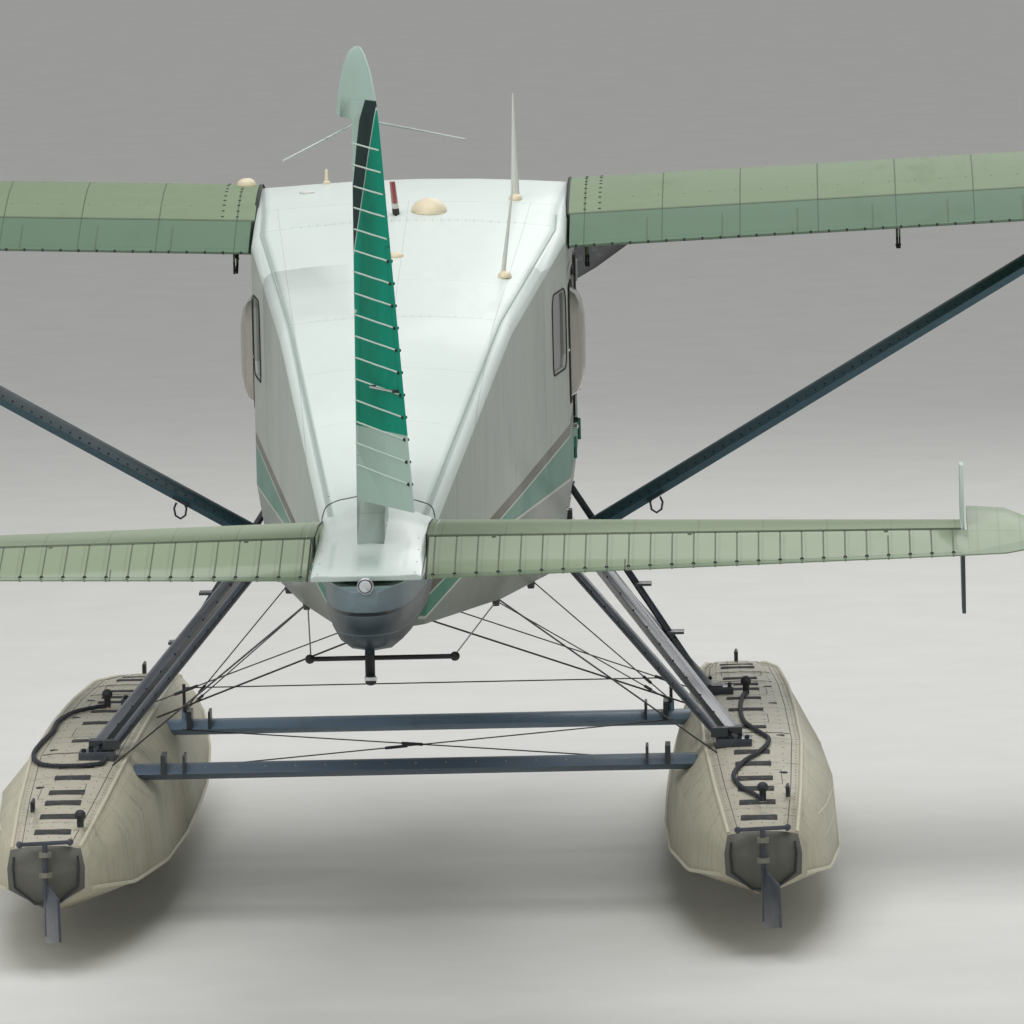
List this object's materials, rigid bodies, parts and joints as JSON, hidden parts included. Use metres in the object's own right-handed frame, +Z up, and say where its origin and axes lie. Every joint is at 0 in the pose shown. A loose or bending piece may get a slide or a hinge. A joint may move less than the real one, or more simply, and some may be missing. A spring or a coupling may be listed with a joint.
{
  "type": "floatplane",
  "caption": "High-wing bush floatplane with strut-braced wing, turbine nose, twin straight floats, moving controls, doors and water rudders.",
  "frame": {"origin": "on the floor under the keels, at the middle of the aircraft's length and on its centre line", "axes": "+X towards the nose, +Y to the left wing tip, +Z up"},
  "size_m": [13.328, 17.68, 4.95],
  "materials": {
    "white_skin": "gloss",
    "side_skin": "gloss",
    "sage_skin": "satin",
    "teal_skin": "gloss",
    "emerald_skin": "satin",
    "strut_paint": "gloss",
    "float_skin": "satin",
    "gear_paint": "satin",
    "dark_steel": "satin",
    "polished": "polished",
    "blade_paint": "satin",
    "engine_metal": "satin",
    "panel_paint": "matte",
    "seat_cloth": "matte",
    "cream_plastic": "satin",
    "rope_fibre": "matte",
    "pane": "gloss"
  },
  "bodies": {
    "airframe": {"cabin_belly": "side_skin", "cabin_roof": "white_skin", "windscreen_frame": "white_skin", "windscreen": "pane", "cabin_side_left": "side_skin", "cabin_side_right": "side_skin", "rear_window_left": "pane", "rear_window_right": "pane", "instrument_panel": "panel_paint", "crew_seats": "seat_cloth", "cabin_seats": "seat_cloth", "rear_fuselage": "white_skin", "tail_fairing": "white_skin", "tail_cone": "teal_skin", "fin": "sage_skin", "tailplane_left": "sage_skin", "tailplane_right": "sage_skin", "wing_left": "sage_skin", "wing_right": "sage_skin", "wing_strut_left": "strut_paint", "wing_strut_right": "strut_paint", "cowling": "white_skin", "engine": "engine_metal", "exhaust_left": "dark_steel", "exhaust_right": "dark_steel", "float_left": "float_skin", "float_right": "float_skin", "float_strut_front_left": "gear_paint", "float_strut_front_right": "gear_paint", "float_struts_rear_left": "gear_paint", "float_struts_rear_right": "gear_paint", "spreader_front": "gear_paint", "spreader_rear": "gear_paint", "brace_wires": "dark_steel", "side_wire_left": "dark_steel", "side_wire_right": "dark_steel", "roof_aerial_front": "cream_plastic", "roof_aerial_rear": "cream_plastic", "roof_dome": "cream_plastic", "rope_left": "rope_fibre", "rope_right": "rope_fibre"},
    "propeller": {"propeller": "blade_paint", "spinner": "polished"},
    "rudder": {"rudder": "emerald_skin"},
    "elevator": {"elevator_left": "sage_skin", "elevator_right": "sage_skin"},
    "aileron_left": {"aileron_left": "sage_skin"},
    "aileron_right": {"aileron_right": "sage_skin"},
    "flap_left": {"flap_left": "sage_skin"},
    "flap_right": {"flap_right": "sage_skin"},
    "water_rudder_left": {"water_rudder_left": "gear_paint"},
    "water_rudder_right": {"water_rudder_right": "gear_paint"},
    "cockpit_door_left": {"cockpit_door_left": "side_skin", "cockpit_window_left": "pane"},
    "cockpit_door_right": {"cockpit_door_right": "side_skin", "cockpit_window_right": "pane"},
    "cabin_door_left": {"cabin_door_left": "side_skin", "bubble_window_left": "pane"},
    "cabin_door_right": {"cabin_door_right": "side_skin", "bubble_window_right": "pane"}
  },
  "joints": [
    {"name": "propeller_spin", "type": "hinge", "parent": "airframe", "child": "propeller", "pos_m": [6.294, 0, 2.563], "axis": [1, 0, 0], "continuous": true},
    {"name": "rudder_hinge", "type": "hinge", "parent": "airframe", "child": "rudder", "pos_m": [-5.836, 0, 3.6], "axis": [0, 0, 1], "range_deg": [-41, 7]},
    {"name": "elevator_hinge", "type": "hinge", "parent": "airframe", "child": "elevator", "pos_m": [-5.836, 0, 2.515], "axis": [0, 1, 0], "range_deg": [-7, 33]},
    {"name": "aileron_hinge_left", "type": "hinge", "parent": "airframe", "child": "aileron_left", "pos_m": [1.328, 5.03, 3.6701], "axis": [0, 0.9993, 0.0366], "range_deg": [-20, 20]},
    {"name": "aileron_hinge_right", "type": "hinge", "parent": "airframe", "child": "aileron_right", "pos_m": [1.328, -5.03, 3.6701], "axis": [0, 0.9993, -0.0366], "range_deg": [-20, 20]},
    {"name": "flap_hinge_left", "type": "hinge", "parent": "airframe", "child": "flap_left", "pos_m": [1.404, 0.95, 3.36085], "axis": [0, -0.9993, -0.0366], "range_deg": [0, 40]},
    {"name": "flap_hinge_right", "type": "hinge", "parent": "airframe", "child": "flap_right", "pos_m": [1.404, -0.95, 3.36085], "axis": [0, -0.9993, 0.0366], "range_deg": [0, 40]},
    {"name": "water_rudder_post_left", "type": "hinge", "parent": "airframe", "child": "water_rudder_left", "pos_m": [-2.081, 1.85, 0.5], "axis": [0, 0, 1], "range_deg": [-41, 7]},
    {"name": "water_rudder_post_right", "type": "hinge", "parent": "airframe", "child": "water_rudder_right", "pos_m": [-2.081, -1.85, 0.5], "axis": [0, 0, 1], "range_deg": [-41, 7]},
    {"name": "cockpit_door_hinge_left", "type": "hinge", "parent": "airframe", "child": "cockpit_door_left", "pos_m": [3.098, 0.854, 2.7], "axis": [0, 0, -1], "range_deg": [0, 75]},
    {"name": "cockpit_door_hinge_right", "type": "hinge", "parent": "airframe", "child": "cockpit_door_right", "pos_m": [3.098, -0.854, 2.7], "axis": [0, 0, 1], "range_deg": [0, 75]},
    {"name": "cabin_door_hinge_left", "type": "hinge", "parent": "airframe", "child": "cabin_door_left", "pos_m": [1.908, 0.854, 2.7], "axis": [0, 0, -1], "range_deg": [0, 85]},
    {"name": "cabin_door_hinge_right", "type": "hinge", "parent": "airframe", "child": "cabin_door_right", "pos_m": [1.908, -0.854, 2.7], "axis": [0, 0, 1], "range_deg": [0, 85]}
  ],
  "couplings": [
    {"joint": "aileron_hinge_right", "follows": "aileron_hinge_left", "ratio": -1},
    {"joint": "flap_hinge_right", "follows": "flap_hinge_left", "ratio": 1},
    {"joint": "water_rudder_post_left", "follows": "rudder_hinge", "ratio": 1},
    {"joint": "water_rudder_post_right", "follows": "rudder_hinge", "ratio": 1}
  ]
}
